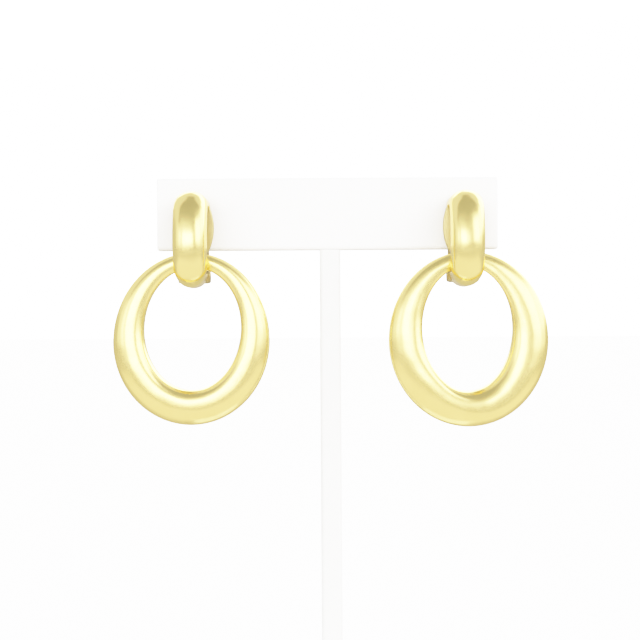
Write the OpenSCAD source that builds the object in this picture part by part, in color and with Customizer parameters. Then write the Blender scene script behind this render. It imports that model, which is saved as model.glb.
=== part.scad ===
/* [Stand] */
// Width of the cross bar
bar_w = 57.2; // [50:0.1:80]
// Height of the cross bar's face
bar_h = 12.1; // [11:0.1:16]
// Depth of the cross bar, front to back
bar_d = 4; // [3.2:0.1:5]
// Shift of the cross bar to the left of the post
bar_shift = 0.4; // [0:0.1:1]
// Height of the whole stand, from the table to the top of the bar
stand_h = 101; // [85:1:150]
// Width and depth of the post
post_w = 3.5; // [3:0.1:6]
// Width of the foot
foot_w = 50; // [40:1:80]
// Depth of the foot
foot_d = 40; // [36:1:70]
// Thickness of the foot
foot_h = 6; // [4:0.5:12]

/* [Earring top] */
// Distance of the left earring from the post
left_x = 22.8; // [20:0.1:23.5]
// Distance of the right earring from the post
right_x = 22.3; // [20:0.1:23.5]
// Height of the arch as seen from the front
arch_h = 15.8; // [15:0.1:16.6]
// Width of the arch
arch_w = 5.6; // [5:0.1:6]
// Height of the arch's dome over its widest line
arch_dome = 2.2; // [2.1:0.05:2.3]
// Bulge of the arch's inner side under its widest line
arch_belly = 0.75; // [0.7:0.05:0.8]
// Radius of the arch's gently curved front, seen from the side
arch_front_r = 13; // [11:0.5:18]
// Outer radius of the arch's upper and lower corners, seen from the side
arch_corner_r = 4.2; // [4:0.1:4.5]
// Narrowing of the arch towards its lower leg, as a share of its width
arch_taper = 0.13; // [0:0.01:0.2]
// Length of the straight legs between the arch's corners and the back plate
leg_l = 4.3; // [3.8:0.1:5]
// Height of the arch's centre over the lower edge of the bar
arch_rise = 1.5; // [1:0.1:2]
// Width of the oval back plate
plate_w = 6.8; // [6.2:0.1:7.2]
// Height of the oval back plate
plate_h = 11.4; // [10.8:0.1:11.8]
// Thickness of the back plate
plate_t = 0.7; // [0.6:0.05:0.8]

/* [Left hoop] */
// Outer width
left_hoop_w = 25.8; // [24:0.1:28]
// Depth of the outline below its widest level
left_hoop_down = 13.8; // [13:0.1:15]
// Width of the hole
left_hole_w = 16.1; // [15:0.1:17.5]
// Height of the hole
left_hole_h = 20.1; // [19.6:0.1:20.6]
// Shift of the outline against the hole, to the right
left_outline_shift = -0.1; // [-0.3:0.05:0.3]
// Shift of the hole's top along the arch, to the right
left_shift = 0.6; // [0:0.05:0.7]
// Lean in the arch, the bottom to the left
left_lean = 3; // [0:0.5:4]
// Turn in the arch, seen from above
left_turn = 0; // [0:1:3]

/* [Right hoop] */
// Outer width
right_hoop_w = 26.3; // [24:0.1:28]
// Depth of the outline below its widest level
right_hoop_down = 14.3; // [13:0.1:15]
// Width of the hole
right_hole_w = 15.5; // [14.5:0.1:17.5]
// Height of the hole
right_hole_h = 20.5; // [19.8:0.1:20.8]
// Shift of the outline against the hole, to the right
right_outline_shift = 0.2; // [-0.3:0.05:0.3]
// Shift of the hole's top along the arch, to the right
right_shift = 0.2; // [-0.3:0.05:0.3]
// Lean in the arch, the bottom to the left
right_lean = 0; // [0:0.5:1]
// Turn in the arch, seen from above
right_turn = 0; // [0:1:5]

/* [Both hoops] */
// Height of the outline above its widest level
hoop_up = 14.6; // [14.4:0.1:15.4]
// Thickness of the tube at the very top
tube_top = 2.5; // [2.2:0.1:2.6]
// Depth of the tube, front to back, at the top
depth_top = 2.2; // [1.9:0.1:2.3]
// Depth of the tube, front to back, at the bottom
depth_low = 5; // [4:0.1:5.6]

/* [Clip] */
// Width of the clip's hinge barrel
barrel_w = 5.4; // [4.6:0.1:5.6]
// Diameter of the clip's hinge barrel
barrel_d = 2.2; // [2:0.1:2.4]
// Width of the clip's lever
lever_w = 4.4; // [3.6:0.1:5]
// Thickness of the clip's lever
lever_t = 0.8; // [0.7:0.1:1]
// Height of the lever's pad behind the bar
pad_h = 7.5; // [6:0.5:9]

/* [Hidden] */
$fn = 64;

// Running gap between pieces that touch on the real object
gap = 0.15;
// Rounding of the wrapped edges of the bar and post, and of the foot's corners
edge_r = 0.7;
corner_r = 2;

// Levels and depths that the rest follows from
bar_z = stand_h - bar_h;
bar_front = -bar_d / 2;
arch_r = arch_h / 2;
arch_z = bar_z + arch_rise;
plate_back = bar_front - gap;
plate_front = plate_back - plate_t;
bend_y = plate_front - leg_l;
arch_t = arch_dome + arch_belly;
saddle_z = arch_z - arch_r + arch_t;
plate_z = arch_z + arch_r - plate_h / 2;

// Side view of the arch: its front turns this far up and down from level, about a centre behind it
front_turn = asin((arch_r - arch_corner_r) / (arch_front_r - arch_corner_r));
front_centre = (arch_front_r - arch_corner_r) * cos(front_turn);
arch_reach = arch_front_r - front_centre;

// Hoop places: the top of the hole hangs on the saddle, in the middle of the arch's hollow
saddle_gap = 0.35;
hole_top = saddle_z + saddle_gap;
hoop_y = (plate_front + bend_y - arch_reach + arch_t) / 2;
hoop_rings = 60;
hoop_sides = 20;
// Squareness of the tube's inner side, 2 being an ellipse
inner_power = 2.8;

// Sides of the plate's outline and of half the arch's section, and steps along the arch's curves
plate_sides = 40;
arch_sides = 12;
corner_steps = 9;
front_steps = 8;

// Tongue between the plate and the lower leg, a little narrower than the arch
tongue_inset = 0.7;
tongue_w = arch_w - 2 * tongue_inset;
tongue_h = plate_z - arch_z + arch_r - arch_dome / 2;

// Clip levels: the barrel lies behind the foot of the plate, below the bar
barrel_rise = 2;
pad_rise = 0.6;
barrel_y = plate_back + gap + barrel_d / 2;
barrel_z = arch_z - arch_r + barrel_rise;
lever_z = barrel_z - barrel_d / 2;
lever_bend_z = lever_z + lever_t;
pad_front = bar_d / 2 + gap;
pad_top = bar_z + pad_rise + pad_h - lever_w / 2;

// A rectangle with round corners, centred
module soft_rectangle(w, h, r) {
    square([w - 2 * r, h], center = true);
    square([w, h - 2 * r], center = true);
    for (x = [-1, 1], y = [-1, 1])
        translate([x * (w / 2 - r), y * (h / 2 - r)]) circle(r);
}

// Extrudes an outline drawn as (height, width) along +Y
module along_y(length) {
    rotate(a = 240, v = [1, 1, 1]) linear_extrude(length) children();
}

module stand_foot() {
    color("whitesmoke") linear_extrude(foot_h) soft_rectangle(foot_w, foot_d, corner_r);
}

module stand_post() {
    color("white") translate([0, 0, foot_h])
        linear_extrude(bar_z - foot_h) soft_rectangle(post_w, post_w, edge_r);
}

module stand_bar() {
    color("white") translate([-bar_shift - bar_w / 2, 0, bar_z + bar_h / 2])
        rotate([90, 0, 90]) linear_extrude(bar_w) soft_rectangle(bar_d, bar_h, edge_r);
}

// Section of the arch as (height over its outer line, width): a dome above and a shallow belly below
function arch_section() =
    [for (i = [0 : 2 * arch_sides - 1])
        let (a = 180 * i / arch_sides - 90, c = cos(a))
        [(c > 0 ? arch_dome * c : -arch_belly * c * c) - arch_dome, arch_w / 2 * sin(a)]];

// Stations along the arch, from its upper leg round the front to its lower leg, about its middle
// height: [y and z of the centre that the arch turns about there, outer radius, direction]
function arch_stations() =
    let (leg_end = leg_l + plate_t / 2, corner_z = arch_r - arch_corner_r, corner_turn = 90 - front_turn)
    [[leg_end, corner_z, arch_corner_r, 90],
     for (k = [0 : corner_steps]) [0, corner_z, arch_corner_r, 90 + corner_turn * k / corner_steps],
     for (k = [1 : front_steps - 1])
         [front_centre, 0, arch_front_r, 180 + front_turn * (2 * k / front_steps - 1)],
     for (k = [0 : corner_steps])
         [0, -corner_z, arch_corner_r, 180 + front_turn + corner_turn * k / corner_steps],
     [leg_end, -corner_z, arch_corner_r, 270]];

// The arch: its section carried along its stations
module arch() {
    stations = arch_stations();
    sides = 2 * arch_sides;
    last = len(stations) - 1;
    points = [for (s = stations, p = arch_section())
        let (narrowing = 1 - arch_taper * pow(min(sin(s[3]), 0), 2), reach = s[2] + p[0])
        [p[1] * narrowing, s[0] + reach * cos(s[3]), s[1] + reach * sin(s[3])]];
    walls = [for (k = [0 : last - 1], i = [0 : sides - 1])
        let (ring = k * sides, next_ring = ring + sides, next_i = (i + 1) % sides)
        [ring + i, ring + next_i, next_ring + next_i, next_ring + i]];
    ends = [[for (i = [0 : sides - 1]) sides - 1 - i], [for (i = [0 : sides - 1]) last * sides + i]];
    polyhedron(points, concat(walls, ends), convexity = 6);
}

// Oval outline as (height, width)
function oval(h, w) =
    [for (i = [0 : plate_sides - 1])
        let (a = 360 * i / plate_sides)
        [h / 2 * cos(a), w / 2 * sin(a)]];

// The arch soldered to its oval back plate, whose tongue reaches down to the lower leg
module earring_top(x) {
    color("khaki") translate([x, 0, 0]) {
        translate([0, bend_y, arch_z]) arch();
        translate([0, plate_front, plate_z]) along_y(plate_t) polygon(oval(plate_h, plate_w));
        translate([-tongue_w / 2, plate_front, plate_z - tongue_h]) cube([tongue_w, plate_t, tongue_h]);
    }
}

// Clip: a hinge barrel under the bar and a bent lever whose pad lies on the back of the bar
module clip(x) {
    color("goldenrod") translate([x, 0, 0]) {
        translate([-barrel_w / 2, barrel_y, barrel_z]) rotate([0, 90, 0])
            cylinder(h = barrel_w, d = barrel_d);
        translate([-lever_w / 2, 0, 0]) {
            translate([0, barrel_y, lever_z]) cube([lever_w, pad_front - barrel_y, lever_t]);
            translate([0, pad_front, lever_bend_z]) rotate([90, 0, 90])
                linear_extrude(lever_w) intersection() {
                    circle(lever_t);
                    translate([0, -lever_t]) square(lever_t);
                }
            translate([0, pad_front, lever_bend_z]) cube([lever_w, lever_t, pad_top - lever_bend_z]);
        }
        translate([0, pad_front, pad_top]) rotate([-90, 0, 0]) cylinder(h = lever_t, d = lever_w);
    }
}

// Point of an egg outline at an angle from its top, as (x, z) about its widest level
function egg(a, w, up, down) = [w / 2 * sin(a), (cos(a) > 0 ? up : down) * cos(a)];

// Ring of points of a hoop's tube at an angle from its top, from the outline to the hole and back,
// about the top of the hole
function hoop_ring(a, hoop_w, hoop_down, hole_w, hole_h, outline_shift) =
    let (outer = egg(a, hoop_w, hoop_up, hoop_down) + [outline_shift, tube_top - hoop_up],
         inner = egg(a, hole_w, hole_h / 2, hole_h / 2) + [0, -hole_h / 2],
         middle = (outer + inner) / 2,
         half = (outer - inner) / 2,
         depth = (depth_top + (depth_low - depth_top) * (1 - cos(a)) / 2) / 2)
    [for (i = [0 : hoop_sides - 1])
        let (s = 360 * i / hoop_sides, power = cos(s) < 0 ? 2 / inner_power : 1,
             out = sign(cos(s)) * pow(abs(cos(s)), power),
             front = sign(sin(s)) * pow(abs(sin(s)), power))
        [middle[0] + half[0] * out, -depth * front, middle[1] + half[1] * out]];

// A graduated hoop, hanging from the saddle of its arch
module hoop(x, lean, turn, hoop_w, hoop_down, hole_w, hole_h, outline_shift) {
    points = [for (k = [0 : hoop_rings - 1])
        each hoop_ring(360 * k / hoop_rings, hoop_w, hoop_down, hole_w, hole_h, outline_shift)];
    faces = [for (k = [0 : hoop_rings - 1], i = [0 : hoop_sides - 1])
        let (ring = k * hoop_sides, next_ring = (k + 1) % hoop_rings * hoop_sides,
             next_i = (i + 1) % hoop_sides)
        [ring + i, next_ring + i, next_ring + next_i, ring + next_i]];
    color("gold") translate([x, hoop_y, hole_top]) rotate([0, lean, turn])
        polyhedron(points, faces, convexity = 6);
}

module left_hoop() {
    hoop(left_shift - left_x, left_lean, left_turn, left_hoop_w, left_hoop_down,
         left_hole_w, left_hole_h, left_outline_shift);
}

module right_hoop() {
    hoop(right_shift + right_x, right_lean, right_turn, right_hoop_w, right_hoop_down,
         right_hole_w, right_hole_h, right_outline_shift);
}

stand_foot();
stand_post();
stand_bar();
earring_top(-left_x);  // left_top
clip(-left_x);  // left_clip
left_hoop();
earring_top(right_x);  // right_top
clip(right_x);  // right_clip
right_hoop();
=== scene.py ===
"""A pair of doorknocker earrings on a T-bar display stand: meshes, materials, light and camera."""
import math

import bmesh
import bpy
import numpy as np
from mathutils import Matrix, Vector


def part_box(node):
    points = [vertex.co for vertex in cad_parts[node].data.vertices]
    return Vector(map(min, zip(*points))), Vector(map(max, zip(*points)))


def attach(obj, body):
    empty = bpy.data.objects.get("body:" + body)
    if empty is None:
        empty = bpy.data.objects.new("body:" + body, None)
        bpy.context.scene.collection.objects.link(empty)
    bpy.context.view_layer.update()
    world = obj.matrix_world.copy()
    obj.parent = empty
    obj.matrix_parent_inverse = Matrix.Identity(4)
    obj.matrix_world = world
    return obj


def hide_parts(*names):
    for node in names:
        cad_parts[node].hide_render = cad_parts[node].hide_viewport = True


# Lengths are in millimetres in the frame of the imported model, and become metres in make_object
MM = 0.001

# Arch of an earring's top: width, heights of its dome and of its belly inside, radii of its front and of
# its corners, how far its bulge hangs, fullness of its dome at the front, and narrowing of its lower leg
ARCH_W = 5.6
ARCH_DOME = 2.3
ARCH_BELLY = 0.65
ARCH_FRONT_R = 13.0
ARCH_CORNER_R = 4.2
ARCH_SAG = 0.9
ARCH_POWER = 2.6
ARCH_TAPER = 0.14
# Back plate: height, thickness, rounding of its rim, and how far its innermost row of points lies in from
# the rim, as a share of its half width. The tongue below it is this much narrower a side than the arch
PLATE_H = 11.4
PLATE_T = 0.7
PLATE_EDGE = 0.2
PLATE_MIDDLE = 0.9
TONGUE_INSET = 0.8

# Hoops: outer width, depth of the outline below its widest level, width and height of the hole, place
# across the stand, shift of the outline, lean in degrees, and phase of the hand-made wave
HOOPS = {
    "left_hoop": {"width": 25.8, "down": 13.8, "hole_w": 15.9, "hole_h": 20.1, "x": -22.2,
                  "shift": -0.1, "lean": 3.0, "phase": 0.0},
    "right_hoop": {"width": 26.3, "down": 14.3, "hole_w": 14.9, "hole_h": 20.5, "x": 22.5,
                   "shift": 0.2, "lean": 0.0, "phase": 2.1},
}
# The same for both: place (y, z) of the hole's top, height of the outline above its widest level, width
# of the tube at its top, its depths at top and bottom, fullness of its inner side, and the wave's share
HOLE_TOP = (-6.033, 85.8)
HOOP_UP = 14.6
TUBE_TOP = 2.5
DEPTH_TOP = 2.2
DEPTH_LOW = 5.0
INNER_POWER = 2.8
HAND_WAVE = 0.006

# How far the crest of a hoop's front lies towards the hole from the tube's middle, at angles round
# the ring from its top by way of the right
CRESTS = {
    "left_hoop": [{"at": 0, "shift": 0.0}, {"at": 175, "shift": 0.15}],
    "right_hoop": [{"at": 0, "shift": 0.35}, {"at": 50, "shift": 0.7}, {"at": 118, "shift": -0.4},
                   {"at": 150, "shift": -0.65}, {"at": 220, "shift": 1.0}, {"at": 260, "shift": 0.6},
                   {"at": 300, "shift": 0.4}],
}

# Clip: hinge barrel, rounding of its ends and the grooves between its knuckles, and the lever's width,
# thickness, rounding and half width at its tip
BARREL_D = 2.2
BARREL_EDGE = 0.15
BARREL_GROOVE = 0.12
LEVER_W = 4.4
LEVER_T = 0.8
LEVER_EDGE = 0.25
LEVER_TIP = 0.05

# Stand: axis that each piece lies along, rounding of its long edges and of its ends, and whether the
# wrapping has a seam along the back, whose groove has points (across, deep)
STAND = {
    "stand_bar": {"along": 0, "corner": 0.7, "edge": 0.25, "seam": True},
    "stand_post": {"along": 2, "corner": 0.7, "edge": 0.1, "seam": True},
    "stand_foot": {"along": 2, "corner": 2.0, "edge": 0.8, "seam": False},
}
SEAM_W = 0.25
SEAM_DEPTH = 0.12
SEAM_PROFILE = ((1, 0), (0.5, 0.8), (0, 1), (-0.5, 0.2), (-1, 0))
# Least radius of a long edge at the rounded ends
SHARPEST_CORNER = 0.02

# Golds: colours of the light and dark patches, and roughness
GOLDS = {
    "pale_gold": {"light": (0.95, 0.74, 0.25), "dark": (0.90, 0.70, 0.23), "roughness": 0.2},
    # The plate gold's darker colour is painted shade cast by the arch; its higher roughness is a satin
    # finish
    "painted_shade_plate_gold": {"light": (0.6, 0.49, 0.22), "dark": (0.5, 0.4, 0.17), "roughness": 0.35},
    # The clip gold's darker colour is painted shade of its recess behind the top; its higher roughness is
    # a satin finish
    "painted_shade_clip_gold": {"light": (0.46, 0.36, 0.16), "dark": (0.34, 0.26, 0.11), "roughness": 0.35},
}
# Tint of all golds where they are seen at a glancing angle
EDGE_TINT = (0.95, 0.9, 0.75)
# Scales of the golds' details in cells per millimetre, their depths in millimetres, the noise levels
# between which the patches turn light, and the shares that wear spreads the roughness between
PATCH_SCALE, PATCH_LEVELS = 0.35, (0.3, 0.7)
WEAR_SCALE, WEAR_SPREAD = 2.5, (0.7, 1.4)
HAMMER_SCALE, HAMMER_DEPTH = 0.25, 0.06
SCRATCH_SCALE, SCRATCH_DEPTH = 6.0, 0.01

# Leatherettes: colours of the dark and light patches
LEATHERETTES = {
    "leatherette": {"dark": (0.93, 0.93, 0.92), "light": (0.97, 0.97, 0.965)},
    # The post's leatherette is the same white leatherette made darker all over: painted shade on the post
    # below the bar
    "painted_shade_post_leatherette": {"dark": (0.8, 0.8, 0.79), "light": (0.86, 0.86, 0.85)},
}
TONE_SCALE = 0.4
GRAIN_SCALE, GRAIN_DEPTH = 3.0, 0.05

# Camera: its place, the focal length in pixels of a 640-pixel picture, and its small roll
CAMERA_AT = (-1.75, -242.0, 77.1)
FOCAL_PIXELS = 1432.0
PICTURE_PIXELS = 640.0
CAMERA_ROLL = -0.35
SENSOR_WIDTH = 36.0

# Studio: light of the walls and of the ceiling, and the elevations between which one becomes the other
WALL_LIGHT = 1.3
CEILING_LIGHT = 0.85
CEILING_FROM, CEILING_TO = 10, 45
# Windows in the walls as seen from the object: azimuth in degrees (0 at the camera, 90 to the right),
# elevation, light, and half width of the soft edge
WINDOWS = [
    {"azimuth": (-25, 5), "elevation": (0, 19), "light": 9.0, "soft": 5},
    {"azimuth": (-45, 6), "elevation": (14, 34), "light": 2.2, "soft": 12},
    {"azimuth": (55, 305), "elevation": (14, 80), "light": 1.9, "soft": 5},
    {"azimuth": (-50, -30), "elevation": (-1, 20), "light": 5.0, "soft": 5},
    {"azimuth": (-75, -20), "elevation": (-16, 24), "light": 2.6, "soft": 5},
    {"azimuth": (17, 56), "elevation": (3, 33), "light": 7.0, "soft": 5},
    {"azimuth": (28, 84), "elevation": (-13, 8), "light": 3.2, "soft": 5},
    {"azimuth": (56, 84), "elevation": (8, 36), "light": 6.0, "soft": 5},
    {"azimuth": (84, 112), "elevation": (12, 48), "light": 7.5, "soft": 5},
    {"azimuth": (112, 180), "elevation": (10, 52), "light": 8.5, "soft": 5},
    {"azimuth": (180, 214), "elevation": (8, 46), "light": 8.0, "soft": 5},
]
# Backdrop as the camera sees it, and the front light with its power in watts
BACKDROP_LIGHT = 6.0
FRONT_LIGHT_AT = (0, -860, 320)
FRONT_LIGHT_SIZE = (1600, 500)
FRONT_LIGHT_POWER = 16.0
# Floor: half its size, its colour in a painted pool of light under and before the object and its painted
# shade beyond it, how far the pool's edges fade aside, behind and before the object, and the glow that
# the camera sees
FLOOR_REACH = 6000
FLOOR_PAINTED_LIGHT_COLOR = (0.69, 0.64, 0.58)
FLOOR_PAINTED_SHADE_COLOR = (0.38, 0.37, 0.36)
FLOOR_LIGHT_POOL_SIDE = (150, 330)
FLOOR_LIGHT_POOL_BACK = (-25, 25)
FLOOR_LIGHT_POOL_FRONT = (120, 300)
FLOOR_GLOW = 3.2
# Film: the light that it still takes, and the points of its curve
FILM_WHITE = 6.0
FILM_POINTS = 10


# Meshes

def make_object(name, vertices, faces, material):
    """A smooth-shaded mesh object from vertices in millimetres."""
    mesh = bpy.data.meshes.new(name)
    mesh.from_pydata((np.asarray(vertices) * MM).tolist(), [], faces)
    mesh.polygons.foreach_set("use_smooth", [True] * len(mesh.polygons))
    mesh.materials.append(material)
    mesh.update()
    obj = bpy.data.objects.new(name, mesh)
    bpy.context.scene.collection.objects.link(obj)
    return obj


def sweep_faces(rows, columns, closed, first=0):
    """Quads between rows of points that each go round, with end caps when the rows don't close."""
    faces = []
    for k in range(rows if closed else rows - 1):
        here, there = first + k * columns, first + (k + 1) % rows * columns
        for i in range(columns):
            j = (i + 1) % columns
            faces.append((here + i, there + i, there + j, here + j))
    if not closed:
        faces.append(tuple(first + i for i in range(columns)))
        last = first + (rows - 1) * columns
        faces.append(tuple(last + i for i in reversed(range(columns))))
    return faces


class Shape:
    """Collects sweeps and boxes that become one mesh."""

    def __init__(self):
        self.vertices = []
        self.faces = []

    def add_sweep(self, grid, closed=False):
        rows, columns, _ = grid.shape
        self.faces += sweep_faces(rows, columns, closed, len(self.vertices))
        self.vertices += grid.reshape(-1, 3).tolist()

    def add_box(self, low, high, radius, segments=4):
        """A box with rounded edges."""
        bm = bmesh.new()
        bmesh.ops.create_cube(bm, size=1.0)
        size = [b - a for a, b in zip(low, high)]
        centre = [(a + b) / 2 for a, b in zip(low, high)]
        bmesh.ops.scale(bm, vec=size, verts=bm.verts)
        bmesh.ops.translate(bm, vec=centre, verts=bm.verts)
        bmesh.ops.bevel(bm, geom=list(bm.edges), offset=radius, segments=segments, profile=0.5,
                        affect="EDGES", clamp_overlap=True)
        start = len(self.vertices)
        self.vertices += [list(v.co) for v in bm.verts]
        self.faces += [tuple(start + v.index for v in f.verts) for f in bm.faces]
        bm.free()

    def to_object(self, name, material):
        obj = make_object(name, self.vertices, self.faces, material)
        bm = bmesh.new()
        bm.from_mesh(obj.data)
        bmesh.ops.recalc_face_normals(bm, faces=bm.faces)
        bm.to_mesh(obj.data)
        bm.free()
        return obj


def box_mm(node):
    """Lowest and highest corners of a CAD node in millimetres."""
    low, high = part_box(node)
    return np.array(low) / MM, np.array(high) / MM


# Hoops

def egg(a, width, up, down):
    """Points (x, z) of an egg outline at the angles a from its top."""
    reach = np.where(np.cos(a) > 0, up, down)
    return np.stack([width / 2 * np.sin(a), reach * np.cos(a)], -1)


def signed_power(values, powers):
    """Powers of the sizes of values, with the values' signs."""
    return np.sign(values) * np.abs(values) ** powers


def crest_shift(angles, crests):
    """The crest's shift at angles round the ring, eased between the rows of a table."""
    at = [math.radians(row["at"]) for row in crests] + [2 * math.pi]
    shift = [row["shift"] for row in crests] + [crests[0]["shift"]]
    first = np.clip(np.searchsorted(at, angles, side="right") - 1, 0, len(crests) - 1)
    at, shift = np.array(at), np.array(shift)
    t = (angles - at[first]) / (at[first + 1] - at[first])
    return shift[first] + (shift[first + 1] - shift[first]) * t * t * (3 - 2 * t)


def hoop_grid(size, crests, rings=320, sides=72):
    """Points of a hoop's tube about the top of its hole, row after row round the ring."""
    a = np.linspace(0, 2 * math.pi, rings, endpoint=False)[:, None]
    s = np.linspace(0, 2 * math.pi, sides, endpoint=False)[None, :]
    outer = egg(a, size["width"], HOOP_UP, size["down"]) + [size["shift"], TUBE_TOP - HOOP_UP]
    inner = egg(a, size["hole_w"], size["hole_h"] / 2, size["hole_h"] / 2) + [0, -size["hole_h"] / 2]
    middle, half = (outer + inner) / 2, (outer - inner) / 2
    depth = (DEPTH_TOP + (DEPTH_LOW - DEPTH_TOP) * (1 - np.cos(a)) / 2) / 2
    power = np.where(np.cos(s) < 0, 2 / INNER_POWER, 1.0)
    out = signed_power(np.cos(s), power)
    front = signed_power(np.sin(s), power)
    wave = 1 + HAND_WAVE * np.sin(3 * a + size["phase"]) * np.cos(s + size["phase"])
    thickness = np.linalg.norm(half, axis=-1)
    across = out * wave - crest_shift(a, crests) * np.maximum(front, 0) ** 2 / thickness
    x = middle[..., 0] + half[..., 0] * across
    z = middle[..., 1] + half[..., 1] * across
    y = -depth * front * wave
    return np.stack([x, y, z], -1)


def turned(first, second, degrees):
    """Two coordinates turned by an angle, the first towards the second."""
    c, s = math.cos(math.radians(degrees)), math.sin(math.radians(degrees))
    return first * c - second * s, first * s + second * c


def make_hoop(name, material):
    """A hoop, leaning in its arch as it hangs."""
    size = HOOPS[name]
    grid = hoop_grid(size, CRESTS[name])
    z, x = turned(grid[..., 2], grid[..., 0], size["lean"])
    shape = Shape()
    shape.add_sweep(np.stack([x, grid[..., 1], z], -1) + [size["x"], *HOLE_TOP], closed=True)
    dress(shape.to_object(name + "_polished", material), name, name)


# Tops

def arch_section(direction, count=96):
    """Section of the arch as (outward, sideways) from its widest line. Its dome is oval at the legs
    and a little flattened at the front, where the direction is level."""
    a = np.linspace(-math.pi, math.pi, count, endpoint=False)
    c, s = np.cos(a), np.sin(a)
    flatness = 2 + (ARCH_POWER - 2) * math.cos(direction) ** 2
    power = np.where(c > 0, 2 / flatness, 1.0)
    outward = np.where(c > 0, ARCH_DOME * np.abs(c) ** power, -ARCH_BELLY * c * c)
    return outward, ARCH_W / 2 * signed_power(s, power)


def arch_stations(radius, leg, front_rows=90, corner_rows=60, leg_rows=12):
    """Stations from the upper leg round the front to the lower one, about the arch's middle height:
    y and z of the centre that the arch turns about there, its outer radius, and its direction."""
    level = radius - ARCH_CORNER_R
    turn = math.asin(level / (ARCH_FRONT_R - ARCH_CORNER_R))
    front = (ARCH_FRONT_R - ARCH_CORNER_R) * math.cos(turn)
    legs = np.linspace(leg, 0, leg_rows, endpoint=False)
    corner = np.linspace(math.pi / 2, math.pi - turn, corner_rows)
    stations = [(y, level, ARCH_CORNER_R, math.pi / 2) for y in legs]
    stations += [(0, level, ARCH_CORNER_R, a) for a in corner]
    stations += [(front, 0, ARCH_FRONT_R, a)
                 for a in np.linspace(math.pi - turn, math.pi + turn, front_rows)[1:-1]]
    stations += [(0, -level, ARCH_CORNER_R, 2 * math.pi - a) for a in corner[::-1]]
    stations += [(y, -level, ARCH_CORNER_R, 3 * math.pi / 2) for y in legs[::-1]]
    return stations, ARCH_FRONT_R - front


def arch_grid(stations):
    """Points of the arch: its section carried along its stations."""
    grid = []
    for y, z, radius, a in stations:
        outward, sideways = arch_section(a)
        sideways = sideways * (1 - ARCH_TAPER * min(math.sin(a), 0) ** 2)
        reach = radius - ARCH_DOME + outward
        grid.append(np.stack([sideways, y + reach * math.cos(a), z + reach * math.sin(a)], -1))
    grid = np.array(grid)
    forward = np.clip(grid[..., 1] / grid[..., 1].min(), 0, 1)
    level = np.clip(grid[..., 2] / grid[..., 2].max(), -1, 1)
    grid[..., 2] -= ARCH_SAG * forward * (1 - level * level)
    return grid


def plate_grid(width, height, thickness, edge, sides=96):
    """Points of an oval plate with a rounded rim, from the middle of its front to that of its back."""
    a = np.linspace(0, 2 * math.pi, sides, endpoint=False)
    turns = np.linspace(0, math.pi / 2, 7)
    profile = [(width / 2 * PLATE_MIDDLE, 0.0)]
    profile += [(edge - edge * math.sin(t), edge - edge * math.cos(t)) for t in turns]
    profile += [(edge - edge * math.cos(t), thickness - edge + edge * math.sin(t)) for t in turns]
    profile += [(width / 2 * PLATE_MIDDLE, thickness)]
    rows = []
    for inset, y in profile:
        rows.append(np.stack([(width / 2 - inset) * np.sin(a), np.full_like(a, y),
                              (height / 2 - inset) * np.cos(a)], -1))
    return np.array(rows)


def make_top(name, polished, satin_painted_shade):
    """Arch of polished gold with a duller, rougher back plate whose darker colour is painted shade of the
    arch, and the tongue that joins the lower leg to it.
    """
    low, high = box_mm(name)
    x = (low[0] + high[0]) / 2
    front = high[1] - PLATE_T
    radius = (high[2] - low[2]) / 2
    _, reach = arch_stations(radius, 0)
    bend_y = low[1] + reach
    stations, _ = arch_stations(radius, front - bend_y + PLATE_T / 2)
    plate_z = high[2] - PLATE_H / 2
    shape = Shape()
    shape.add_sweep(arch_grid(stations) + [x, bend_y, (low[2] + high[2]) / 2])
    arch_faces = len(shape.faces)
    plate = plate_grid(high[0] - low[0], PLATE_H, PLATE_T, PLATE_EDGE)
    shape.add_sweep(plate + [x, front, plate_z])
    tongue_w = ARCH_W / 2 - TONGUE_INSET
    tongue_low = low[2] + ARCH_DOME / 2
    shape.add_box((x - tongue_w, front, tongue_low), (x + tongue_w, high[1], plate_z), PLATE_EDGE)
    obj = shape.to_object(name + "_polished", polished)
    # The back plate and tongue take the second material, a darker gold that paints the arch's shade on
    # them
    obj.data.materials.append(satin_painted_shade)
    for face in obj.data.polygons[arch_faces:]:
        face.material_index = 1
    dress(obj, name, "stand")


# Clips

def make_clip(name, material):
    """Hinge barrel and lever of a clip as one piece."""
    low, high = box_mm(name)
    x = (low[0] + high[0]) / 2
    barrel_z = low[2] + BARREL_D / 2
    half = (high[0] - low[0]) / 2
    shape = Shape()
    shape.add_sweep(barrel_grid(half) + [x, low[1] + BARREL_D / 2, barrel_z])
    shape.add_sweep(lever_grid(low, high, x))
    # The clip's gold is darkened in colour as painted shade
    dress(shape.to_object(name + "_satin", material), name, "stand")


def barrel_grid(half, sides=48):
    """Hinge barrel along X with three knuckles, its ends rounded."""
    groove = BARREL_GROOVE
    stations = [(-half, BARREL_EDGE), (-half + BARREL_EDGE, 0)]
    for cut in (-half / 3, half / 3):
        stations += [(cut - groove, 0), (cut - groove / 2, groove)]
        stations += [(cut + groove / 2, groove), (cut + groove, 0)]
    stations += [(half - BARREL_EDGE, 0), (half, BARREL_EDGE)]
    a = np.linspace(0, 2 * math.pi, sides, endpoint=False)
    rows = []
    for along, inset in stations:
        r = BARREL_D / 2 - inset
        rows.append(np.stack([np.full_like(a, along), r * np.sin(a), r * np.cos(a)], -1))
    return np.array(rows)


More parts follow.
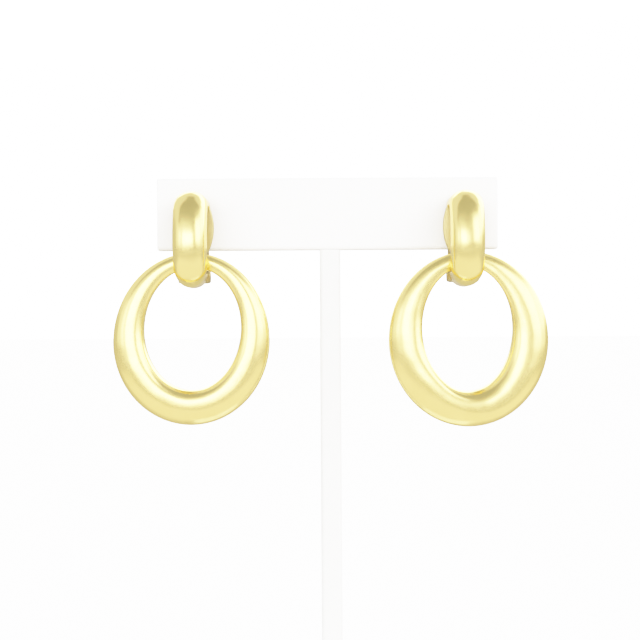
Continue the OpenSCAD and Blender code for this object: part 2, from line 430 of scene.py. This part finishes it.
def lever_grid(low, high, x, bend_rows=16, straight_rows=12, pad_rows=20):
    """The lever's strip: under the bar, round a bend and up to its round pad."""
    back = high[1]
    bend_r = LEVER_T
    start_y = low[1] + BARREL_D / 2
    path = [(start_y, low[2], 0.0)]
    centre_y, centre_z = back - bend_r, low[2] + bend_r
    for t in np.linspace(0, math.pi / 2, bend_rows):
        path.append((centre_y + bend_r * math.sin(t), centre_z - bend_r * math.cos(t), t))
    pad_r = LEVER_W / 2
    pad_z = high[2] - pad_r
    for t in np.linspace(0, 1, straight_rows)[1:]:
        path.append((back, centre_z + (pad_z - centre_z) * t, math.pi / 2))
    widths = [pad_r] * len(path)
    for t in np.linspace(0, math.pi / 2, pad_rows)[1:]:
        path.append((back, pad_z + pad_r * math.sin(t), math.pi / 2))
        widths.append(max(pad_r * math.cos(t), LEVER_TIP))
    rows = []
    for (y, z, turn), half in zip(path, widths):
        rows.append(strip_row(x, y, z, turn, half))
    return np.array(rows)


def strip_row(x, y, z, turn, half, corner_points=5):
    """A rounded flat section of the lever, its outer face through (y, z), facing down and then back."""
    edge = min(LEVER_EDGE, half)
    row = []
    for side, face in ((1, 0), (1, 1), (-1, 1), (-1, 0)):
        for t in np.linspace(0, math.pi / 2, corner_points):
            if (side, face) in ((1, 0), (-1, 1)):
                across, deep = math.sin(t), 1 - math.cos(t)
            else:
                across, deep = math.cos(t), 1 - math.sin(t)
            sideways = side * (half - edge + edge * across)
            depth = edge * deep if face == 0 else LEVER_T - edge * deep
            row.append([x + sideways, y - depth * math.sin(turn), z + depth * math.cos(turn)])
    return row


# Stand

def rounded_outline(width, height, corner, inset, seam, steps=10):
    """Points of a rectangle with round corners, drawn in by an inset, with a seam's groove if asked."""
    w, h = width / 2 - corner, height / 2 - corner
    r = max(corner - inset, SHARPEST_CORNER)
    points = []
    for k, (u, v) in enumerate(((w, h), (-w, h), (-w, -h), (w, -h))):
        for t in np.linspace(k, k + 1, steps):
            points.append((u + r * math.cos(t * math.pi / 2), v + r * math.sin(t * math.pi / 2)))
        if seam and k == 0:
            for across, deep in SEAM_PROFILE:
                points.append((across * SEAM_W, height / 2 - inset - deep * SEAM_DEPTH))
    return np.array(points)


def wrapped_grid(size, length, corner, edge, seam, steps=6):
    """Points of a wrapped bar along its length, its ends rounded."""
    turns = np.linspace(0, math.pi / 2, steps)
    rows = [(edge - edge * math.sin(t), edge - edge * math.cos(t)) for t in turns[::-1]]
    rows += [(length - at, inset) for at, inset in reversed(rows)]
    grid = []
    for at, inset in rows:
        outline = rounded_outline(*size, corner, inset, seam)
        grid.append(np.column_stack([outline, np.full(len(outline), at)]))
    return np.array(grid)


def make_stand(materials):
    """The wrapped pieces of the stand, each in the box of its CAD node."""
    for name, form in STAND.items():
        low, high = box_mm(name)
        centre, span = (low + high) / 2, high - low
        # Outline axes across the piece, the second towards the back, and the axis along it
        axes = [2, 1, 0] if form["along"] == 0 else [0, 1, 2]
        grid = wrapped_grid(span[axes[:2]], span[axes[2]], form["corner"], form["edge"], form["seam"])
        place = centre.copy()
        place[axes[2]] = low[axes[2]]
        points = np.empty_like(grid)
        for k, axis in enumerate(axes):
            points[..., axis] = grid[..., k] + place[axis]
        shape = Shape()
        shape.add_sweep(points)
        dress(shape.to_object(name + "_wrapped", materials[name]), name, "stand")


def dress(obj, node, body):
    """Puts a finished piece in place of its CAD node, which it hides, with the node's body."""
    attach(obj, body)
    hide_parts(node)


# Materials

def new_material(name):
    """A material with its nodes, links and main shader."""
    material = bpy.data.materials.new(name)
    material.use_nodes = True
    nodes = material.node_tree.nodes
    return material, nodes, material.node_tree.links, nodes["Principled BSDF"]


def add_noise(nodes, links, scale, detail=3.0, roughness=0.5):
    """A noise texture in object coordinates, its scale in cells per millimetre."""
    place = nodes.new("ShaderNodeTexCoord")
    texture = nodes.new("ShaderNodeTexNoise")
    texture.inputs["Scale"].default_value = scale / MM
    texture.inputs["Detail"].default_value = detail
    texture.inputs["Roughness"].default_value = roughness
    links.new(place.outputs["Object"], texture.inputs["Vector"])
    return texture


def add_range(nodes, links, source, low, high):
    """Maps a 0 to 1 value onto low to high."""
    ranged = nodes.new("ShaderNodeMapRange")
    ranged.inputs["To Min"].default_value = low
    ranged.inputs["To Max"].default_value = high
    links.new(source, ranged.inputs["Value"])
    return ranged.outputs["Result"]


def add_bump(nodes, links, height, distance, strength, normal=None):
    """A surface raised by up to a distance in millimetres, on top of another one if given."""
    bump = nodes.new("ShaderNodeBump")
    bump.inputs["Distance"].default_value = distance * MM
    bump.inputs["Strength"].default_value = strength
    links.new(height, bump.inputs["Height"])
    if normal is not None:
        links.new(normal, bump.inputs["Normal"])
    return bump.outputs["Normal"]


def gold_material(name):
    """Gold with soft patches of wear, fine scratches and a slightly uneven surface."""
    look = GOLDS[name]
    material, nodes, links, shader = new_material(name)
    patches = add_noise(nodes, links, PATCH_SCALE)
    ramp = nodes.new("ShaderNodeValToRGB")
    ramp.color_ramp.elements[0].position = PATCH_LEVELS[0]
    ramp.color_ramp.elements[0].color = (*look["dark"], 1)
    ramp.color_ramp.elements[1].position = PATCH_LEVELS[1]
    ramp.color_ramp.elements[1].color = (*look["light"], 1)
    links.new(patches.outputs["Fac"], ramp.inputs["Fac"])
    links.new(ramp.outputs["Color"], shader.inputs["Base Color"])
    wear = add_noise(nodes, links, WEAR_SCALE, detail=6.0)
    least, most = [look["roughness"] * share for share in WEAR_SPREAD]
    links.new(add_range(nodes, links, wear.outputs["Fac"], least, most), shader.inputs["Roughness"])
    hammer = add_noise(nodes, links, HAMMER_SCALE, detail=1.0)
    scratches = add_noise(nodes, links, SCRATCH_SCALE, detail=4.0)
    normal = add_bump(nodes, links, hammer.outputs["Fac"], HAMMER_DEPTH, 1.0)
    normal = add_bump(nodes, links, scratches.outputs["Fac"], SCRATCH_DEPTH, 0.5, normal)
    links.new(normal, shader.inputs["Normal"])
    shader.inputs["Metallic"].default_value = 1.0
    shader.inputs["Specular Tint"].default_value = (*EDGE_TINT, 1)
    return material


def leatherette_material(name):
    """White leatherette with a fine pebbled grain."""
    look = LEATHERETTES[name]
    material, nodes, links, shader = new_material(name)
    tone = add_noise(nodes, links, TONE_SCALE)
    ramp = nodes.new("ShaderNodeValToRGB")
    ramp.color_ramp.elements[0].color = (*look["dark"], 1)
    ramp.color_ramp.elements[1].color = (*look["light"], 1)
    links.new(tone.outputs["Fac"], ramp.inputs["Fac"])
    links.new(ramp.outputs["Color"], shader.inputs["Base Color"])
    grain = add_noise(nodes, links, GRAIN_SCALE, detail=4.0)
    normal = add_bump(nodes, links, grain.outputs["Fac"], GRAIN_DEPTH, 0.6)
    links.new(normal, shader.inputs["Normal"])
    shader.inputs["Roughness"].default_value = 0.6
    return material


# Studio

def make_floor():
    """A wide pale floor, which the camera sees as bright as the backdrop behind it, with painted light
    round the object and painted shade beyond.
    """
    reach = FLOOR_REACH
    vertices = [(-reach, -reach, 0), (reach, -reach, 0), (reach, reach, 0), (-reach, reach, 0)]
    material, nodes, links, shader = new_material("pale_floor")
    place = nodes.new("ShaderNodeTexCoord")
    parts = nodes.new("ShaderNodeSeparateXYZ")
    links.new(place.outputs["Object"], parts.inputs[0])
    # Painted light: the colour is lighter on a patch under and before the object and fades to painted
    # shade aside, behind and far before it
    aside = add_math(nodes, links, "ABSOLUTE", parts.outputs["X"], 0)
    painted_shade_mask = add_step(nodes, links, aside, FLOOR_LIGHT_POOL_SIDE[0] * MM, FLOOR_LIGHT_POOL_SIDE[1] * MM)
    behind = add_step(nodes, links, parts.outputs["Y"], FLOOR_LIGHT_POOL_BACK[0] * MM, FLOOR_LIGHT_POOL_BACK[1] * MM)
    before = add_math(nodes, links, "MULTIPLY", parts.outputs["Y"], -1)
    before = add_step(nodes, links, before, FLOOR_LIGHT_POOL_FRONT[0] * MM, FLOOR_LIGHT_POOL_FRONT[1] * MM)
    painted_shade_mask = add_math(nodes, links, "MAXIMUM", painted_shade_mask, behind)
    painted_shade_mask = add_math(nodes, links, "MAXIMUM", painted_shade_mask, before)
    tone = nodes.new("ShaderNodeMix")
    tone.data_type = "RGBA"
    tone.inputs["A"].default_value = (*FLOOR_PAINTED_LIGHT_COLOR, 1)
    tone.inputs["B"].default_value = (*FLOOR_PAINTED_SHADE_COLOR, 1)
    links.new(painted_shade_mask, tone.inputs["Factor"])
    links.new(tone.outputs["Result"], shader.inputs["Base Color"])
    shader.inputs["Roughness"].default_value = 0.9
    shader.inputs["Specular IOR Level"].default_value = 0.0
    shader.inputs["Emission Color"].default_value = (1, 1, 1, 1)
    path = nodes.new("ShaderNodeLightPath")
    glow = add_math(nodes, links, "MULTIPLY", path.outputs["Is Camera Ray"], FLOOR_GLOW)
    links.new(glow, shader.inputs["Emission Strength"])
    floor = make_object("floor", vertices, [(0, 1, 2, 3)], material)


def add_math(nodes, links, operation, first, second):
    """A math node whose inputs are sockets or numbers."""
    node = nodes.new("ShaderNodeMath")
    node.operation = operation
    for socket, value in zip(node.inputs, (first, second)):
        if isinstance(value, (int, float)):
            socket.default_value = value
        else:
            links.new(value, socket)
    return node.outputs[0]


def add_step(nodes, links, source, start, end, top=1.0):
    """A smooth step from 0 at start to top at end."""
    node = nodes.new("ShaderNodeMapRange")
    node.interpolation_type = "SMOOTHSTEP"
    node.inputs["From Min"].default_value = start
    node.inputs["From Max"].default_value = end
    node.inputs["To Max"].default_value = top
    links.new(source, node.inputs["Value"])
    return node.outputs["Result"]


def add_window(nodes, links, azimuth, elevation, window):
    """Light of a soft-edged window that lies between two azimuths and two elevations."""
    soft = math.radians(window["soft"])
    spans = []
    for angle, key in ((azimuth, "azimuth"), (elevation, "elevation")):
        low, high = [math.radians(a) for a in window[key]]
        away = add_math(nodes, links, "SUBTRACT", angle, (low + high) / 2)
        wrapped = nodes.new("ShaderNodeMath")
        wrapped.operation = "WRAP"
        wrapped.inputs[1].default_value, wrapped.inputs[2].default_value = math.pi, -math.pi
        links.new(away, wrapped.inputs[0])
        away = add_math(nodes, links, "ABSOLUTE", wrapped.outputs[0], 0)
        half = (high - low) / 2
        spans.append(add_step(nodes, links, away, half + soft, half - soft))
    inside = add_math(nodes, links, "MULTIPLY", *spans)
    return add_math(nodes, links, "MULTIPLY", inside, window["light"])


def make_world():
    """The studio round the object: dim walls and ceiling with soft bright windows in the walls."""
    world = bpy.data.worlds.new("studio")
    world.use_nodes = True
    nodes, links = world.node_tree.nodes, world.node_tree.links
    nodes["Background"].inputs["Color"].default_value = (1, 1, 1, 1)
    place = nodes.new("ShaderNodeTexCoord")
    parts = nodes.new("ShaderNodeSeparateXYZ")
    links.new(place.outputs["Generated"], parts.inputs[0])
    behind = add_math(nodes, links, "MULTIPLY", parts.outputs["Y"], -1)
    azimuth = add_math(nodes, links, "ARCTAN2", parts.outputs["X"], behind)
    elevation = add_math(nodes, links, "ARCSINE", parts.outputs["Z"], 0)
    dimming = add_step(nodes, links, elevation, math.radians(CEILING_FROM), math.radians(CEILING_TO),
                       WALL_LIGHT - CEILING_LIGHT)
    strength = add_math(nodes, links, "SUBTRACT", WALL_LIGHT, dimming)
    for window in WINDOWS:
        light = add_window(nodes, links, azimuth, elevation, window)
        strength = add_math(nodes, links, "MAXIMUM", light, strength)
    # The camera sees a white backdrop behind the object
    path = nodes.new("ShaderNodeLightPath")
    backdrop = add_math(nodes, links, "MULTIPLY", path.outputs["Is Camera Ray"], BACKDROP_LIGHT)
    strength = add_math(nodes, links, "MAXIMUM", backdrop, strength)
    links.new(strength, nodes["Background"].inputs["Strength"])
    bpy.context.scene.world = world


def make_front_light():
    """A wide soft light before the object for the matt pieces. The gold mirrors the windows alone."""
    data = bpy.data.lights.new("front_light", "AREA")
    data.shape = "RECTANGLE"
    data.size, data.size_y = [length * MM for length in FRONT_LIGHT_SIZE]
    data.energy = FRONT_LIGHT_POWER
    light = bpy.data.objects.new("front_light", data)
    light.visible_glossy = False
    turn = Matrix.Rotation(math.radians(90), 4, "X")
    light.matrix_world = Matrix.Translation(Vector(FRONT_LIGHT_AT) * MM) @ turn
    bpy.context.scene.collection.objects.link(light)


def make_camera():
    """The camera at the photo's viewing angle."""
    data = bpy.data.cameras.new("camera")
    data.sensor_width = SENSOR_WIDTH
    data.lens = FOCAL_PIXELS / PICTURE_PIXELS * data.sensor_width
    data.clip_start, data.clip_end = 0.01, 100.0
    camera = bpy.data.objects.new("camera", data)
    turn = Matrix.Rotation(math.radians(90), 4, "X") @ Matrix.Rotation(math.radians(CAMERA_ROLL), 4, "Z")
    camera.matrix_world = Matrix.Translation(Vector(CAMERA_AT) * MM) @ turn
    bpy.context.scene.collection.objects.link(camera)
    bpy.context.scene.camera = camera


def set_film():
    """A film-like response to light, 1 - exp(-light), that brings bright parts gently to white."""
    settings = bpy.context.scene.view_settings
    settings.view_transform = "Standard"
    settings.use_curve_mapping = True
    curves = settings.curve_mapping
    curves.white_level = (FILM_WHITE,) * 3
    points = curves.curves[3].points
    for k in range(1, FILM_POINTS):
        light = (k / FILM_POINTS) ** 2
        points.new(light, 1 - math.exp(-FILM_WHITE * light))
    curves.update()


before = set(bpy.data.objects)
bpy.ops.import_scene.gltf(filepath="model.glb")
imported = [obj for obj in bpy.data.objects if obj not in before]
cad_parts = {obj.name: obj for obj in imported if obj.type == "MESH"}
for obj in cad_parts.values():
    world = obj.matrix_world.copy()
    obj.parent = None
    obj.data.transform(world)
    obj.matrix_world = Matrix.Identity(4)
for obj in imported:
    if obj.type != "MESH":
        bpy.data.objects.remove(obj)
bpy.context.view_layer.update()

gold = gold_material("pale_gold")
painted_shade_clip_gold = gold_material("painted_shade_clip_gold")
painted_shade_plate_gold = gold_material("painted_shade_plate_gold")
leatherette = leatherette_material("leatherette")
painted_shade_post_leatherette = leatherette_material("painted_shade_post_leatherette")

for hoop_name in HOOPS:
    make_hoop(hoop_name, gold)
for side in ("left", "right"):
    make_top(side + "_top", gold, painted_shade_plate_gold)
    make_clip(side + "_clip", painted_shade_clip_gold)
make_stand({"stand_bar": leatherette, "stand_post": painted_shade_post_leatherette, "stand_foot": leatherette})

make_floor()
make_world()
make_front_light()
make_camera()
set_film()
